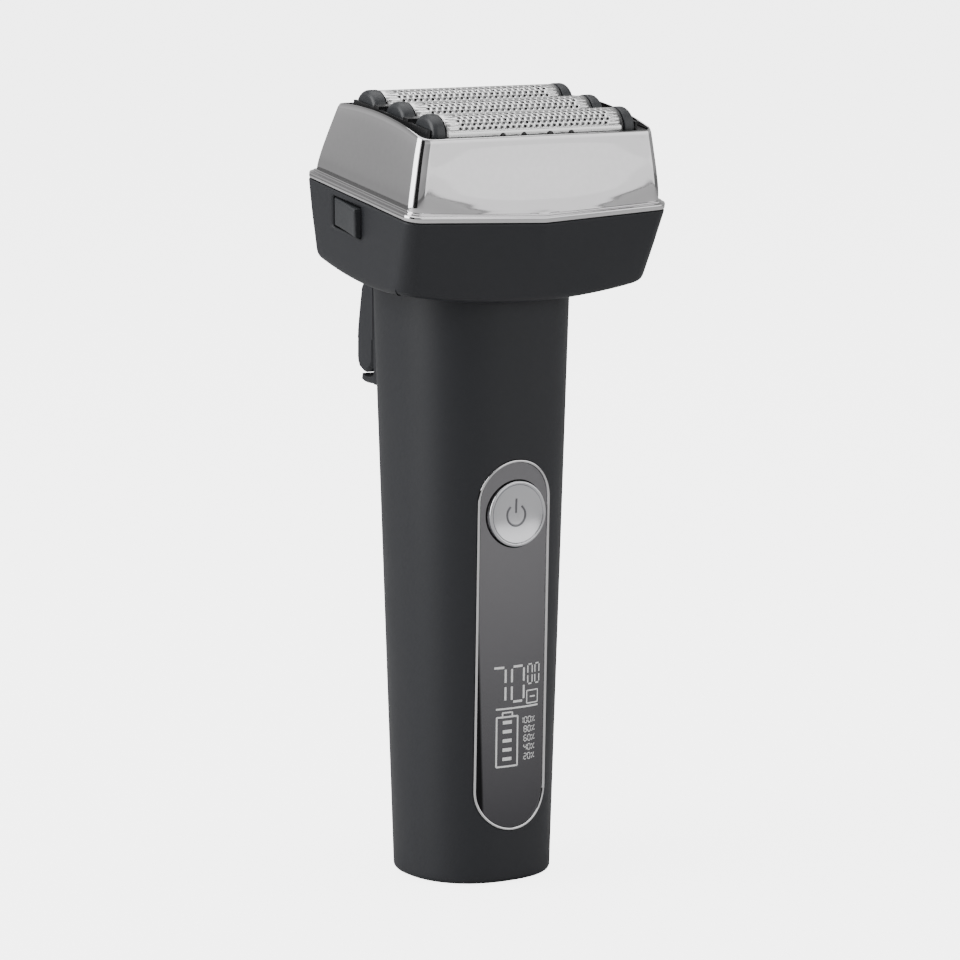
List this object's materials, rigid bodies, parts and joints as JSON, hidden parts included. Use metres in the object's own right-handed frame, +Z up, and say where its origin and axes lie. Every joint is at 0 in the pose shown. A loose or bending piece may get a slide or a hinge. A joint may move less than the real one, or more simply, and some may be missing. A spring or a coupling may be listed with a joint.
{
  "type": "electric shaver",
  "caption": "Foil shaver with a round tapered handle, a display window and power button, a forward-leaning head with floating foils in a lift-off frame, and a flip-out trimmer.",
  "frame": {"origin": "middle of the resting face under the handle's foot", "axes": "+Z up along the handle's axis; the display and power button face -Y; the foils run along X; the head leans forward, towards -Y, by 9.42 degrees"},
  "size_m": [0.064, 0.0536, 0.1602],
  "materials": {
    "soft_touch_charcoal": "soft-touch rubberised paint on ABS, charcoal",
    "dark_plastic": "fine-textured moulded plastic, dark grey",
    "black_plastic": "moulded black plastic",
    "white_plastic": "natural acetal",
    "chrome": "bright chrome plate",
    "satin_metal": "spun satin metal",
    "smoked_panel": "metallised gloss panel, gunmetal grey",
    "foil_steel": "electroformed foil, bright, perforated",
    "steel": "machined or stamped steel",
    "copper_winding": "wound rotor on a steel shaft",
    "magnet": "sintered ferrite",
    "brass": "turned brass",
    "circuit_board": "green solder mask",
    "cell_wrap": "lithium-ion cell in a plain shrink sleeve"
  },
  "bodies": {
    "handle": {"handle_sleeve": "soft_touch_charcoal", "base_cap": "soft_touch_charcoal", "charge_port_shell": "steel", "charge_port_tongue": "black_plastic", "bezel_ring": "chrome", "display_panel": "smoked_panel", "display_module": "black_plastic", "tact_switch": "steel", "main_board": "circuit_board", "chassis": "white_plastic", "battery_cell": "cell_wrap", "cell_tab_top": "steel", "motor_can": "steel", "motor_end_bell": "white_plastic", "motor_magnet": "magnet", "motor_mount": "white_plastic", "guide_rod_front": "steel", "guide_rod_rear": "steel", "head_base": "soft_touch_charcoal", "head_deck": "dark_plastic", "trimmer_cradle": "soft_touch_charcoal", "trimmer_pin": "steel", "deck_screw_1": "steel", "deck_screw_2": "steel", "deck_screw_3": "steel", "deck_screw_4": "steel"},
    "power_button": {"power_button": "satin_metal"},
    "release_left": {"release_button_left": "dark_plastic"},
    "release_right": {"release_button_right": "dark_plastic"},
    "motor_shaft": {"motor_rotor": "copper_winding", "eccentric_cam": "brass"},
    "bridge": {"drive_bridge": "white_plastic", "cutter_spring_front": "steel", "cutter_spring_middle": "steel", "cutter_spring_rear": "steel"},
    "foil_frame": {"foil_frame": "chrome", "foil_holder": "black_plastic"},
    "trimmer": {"trimmer_housing": "soft_touch_charcoal", "trimmer_comb": "steel"},
    "trimmer_blade": {"trimmer_cutter": "steel"},
    "foil_unit_front": {"foil_front": "foil_steel", "foil_carrier_front": "dark_plastic"},
    "cutter_unit_front": {"cutter_front": "steel"},
    "foil_unit_middle": {"foil_middle": "foil_steel", "foil_carrier_middle": "dark_plastic"},
    "cutter_unit_middle": {"cutter_middle": "steel"},
    "foil_unit_rear": {"foil_rear": "foil_steel", "foil_carrier_rear": "dark_plastic"},
    "cutter_unit_rear": {"cutter_rear": "steel"}
  },
  "joints": [
    {"name": "foil_frame_lift", "type": "slide", "parent": "handle", "child": "foil_frame", "axis": [0, -0.1637, 0.9865], "range_m": [0, 0.025]},
    {"name": "drive_oscillation", "type": "slide", "parent": "handle", "child": "bridge", "axis": [1, 0, 0], "range_m": [-0.001, 0.001]},
    {"name": "motor_spin", "type": "hinge", "parent": "handle", "child": "motor_shaft", "pos_m": [0, -0.0051, 0.132], "axis": [0, -0.1637, 0.9865], "continuous": true},
    {"name": "power_press", "type": "slide", "parent": "handle", "child": "power_button", "axis": [0, 1, 0], "range_m": [0, 0.0006], "stiffness_N_per_m": 900, "springref_m": -0.0002},
    {"name": "release_press_left", "type": "slide", "parent": "handle", "child": "release_left", "axis": [1, 0, 0], "range_m": [0, 0.001], "stiffness_N_per_m": 900, "springref_m": -0.0002},
    {"name": "release_press_right", "type": "slide", "parent": "handle", "child": "release_right", "axis": [-1, 0, 0], "range_m": [0, 0.001], "stiffness_N_per_m": 900, "springref_m": -0.0002},
    {"name": "trimmer_flip", "type": "hinge", "parent": "handle", "child": "trimmer", "pos_m": [0, 0.0224, 0.1042], "axis": [-1, 0, 0], "range_deg": [0, 60]},
    {"name": "trimmer_oscillation", "type": "slide", "parent": "trimmer", "child": "trimmer_blade", "axis": [1, 0, 0], "range_m": [-0.0008, 0.0008]},
    {"name": "foil_float_front", "type": "slide", "parent": "foil_frame", "child": "foil_unit_front", "axis": [0, 0.1637, -0.9865], "range_m": [0, 0.0015], "stiffness_N_per_m": 400, "springref_m": -0.0005},
    {"name": "cutter_float_front", "type": "slide", "parent": "bridge", "child": "cutter_unit_front", "axis": [0, 0.1637, -0.9865], "range_m": [0, 0.0015], "deforming": ["cutter_spring_front"]},
    {"name": "foil_float_middle", "type": "slide", "parent": "foil_frame", "child": "foil_unit_middle", "axis": [0, 0.1637, -0.9865], "range_m": [0, 0.0015], "stiffness_N_per_m": 400, "springref_m": -0.0005},
    {"name": "cutter_float_middle", "type": "slide", "parent": "bridge", "child": "cutter_unit_middle", "axis": [0, 0.1637, -0.9865], "range_m": [0, 0.0015], "deforming": ["cutter_spring_middle"]},
    {"name": "foil_float_rear", "type": "slide", "parent": "foil_frame", "child": "foil_unit_rear", "axis": [0, 0.1637, -0.9865], "range_m": [0, 0.0015], "stiffness_N_per_m": 400, "springref_m": -0.0005},
    {"name": "cutter_float_rear", "type": "slide", "parent": "bridge", "child": "cutter_unit_rear", "axis": [0, 0.1637, -0.9865], "range_m": [0, 0.0015], "deforming": ["cutter_spring_rear"]}
  ],
  "couplings": [
    {"joint": "cutter_float_front", "follows": "foil_float_front", "ratio": 1},
    {"joint": "cutter_float_middle", "follows": "foil_float_middle", "ratio": 1},
    {"joint": "cutter_float_rear", "follows": "foil_float_rear", "ratio": 1}
  ]
}
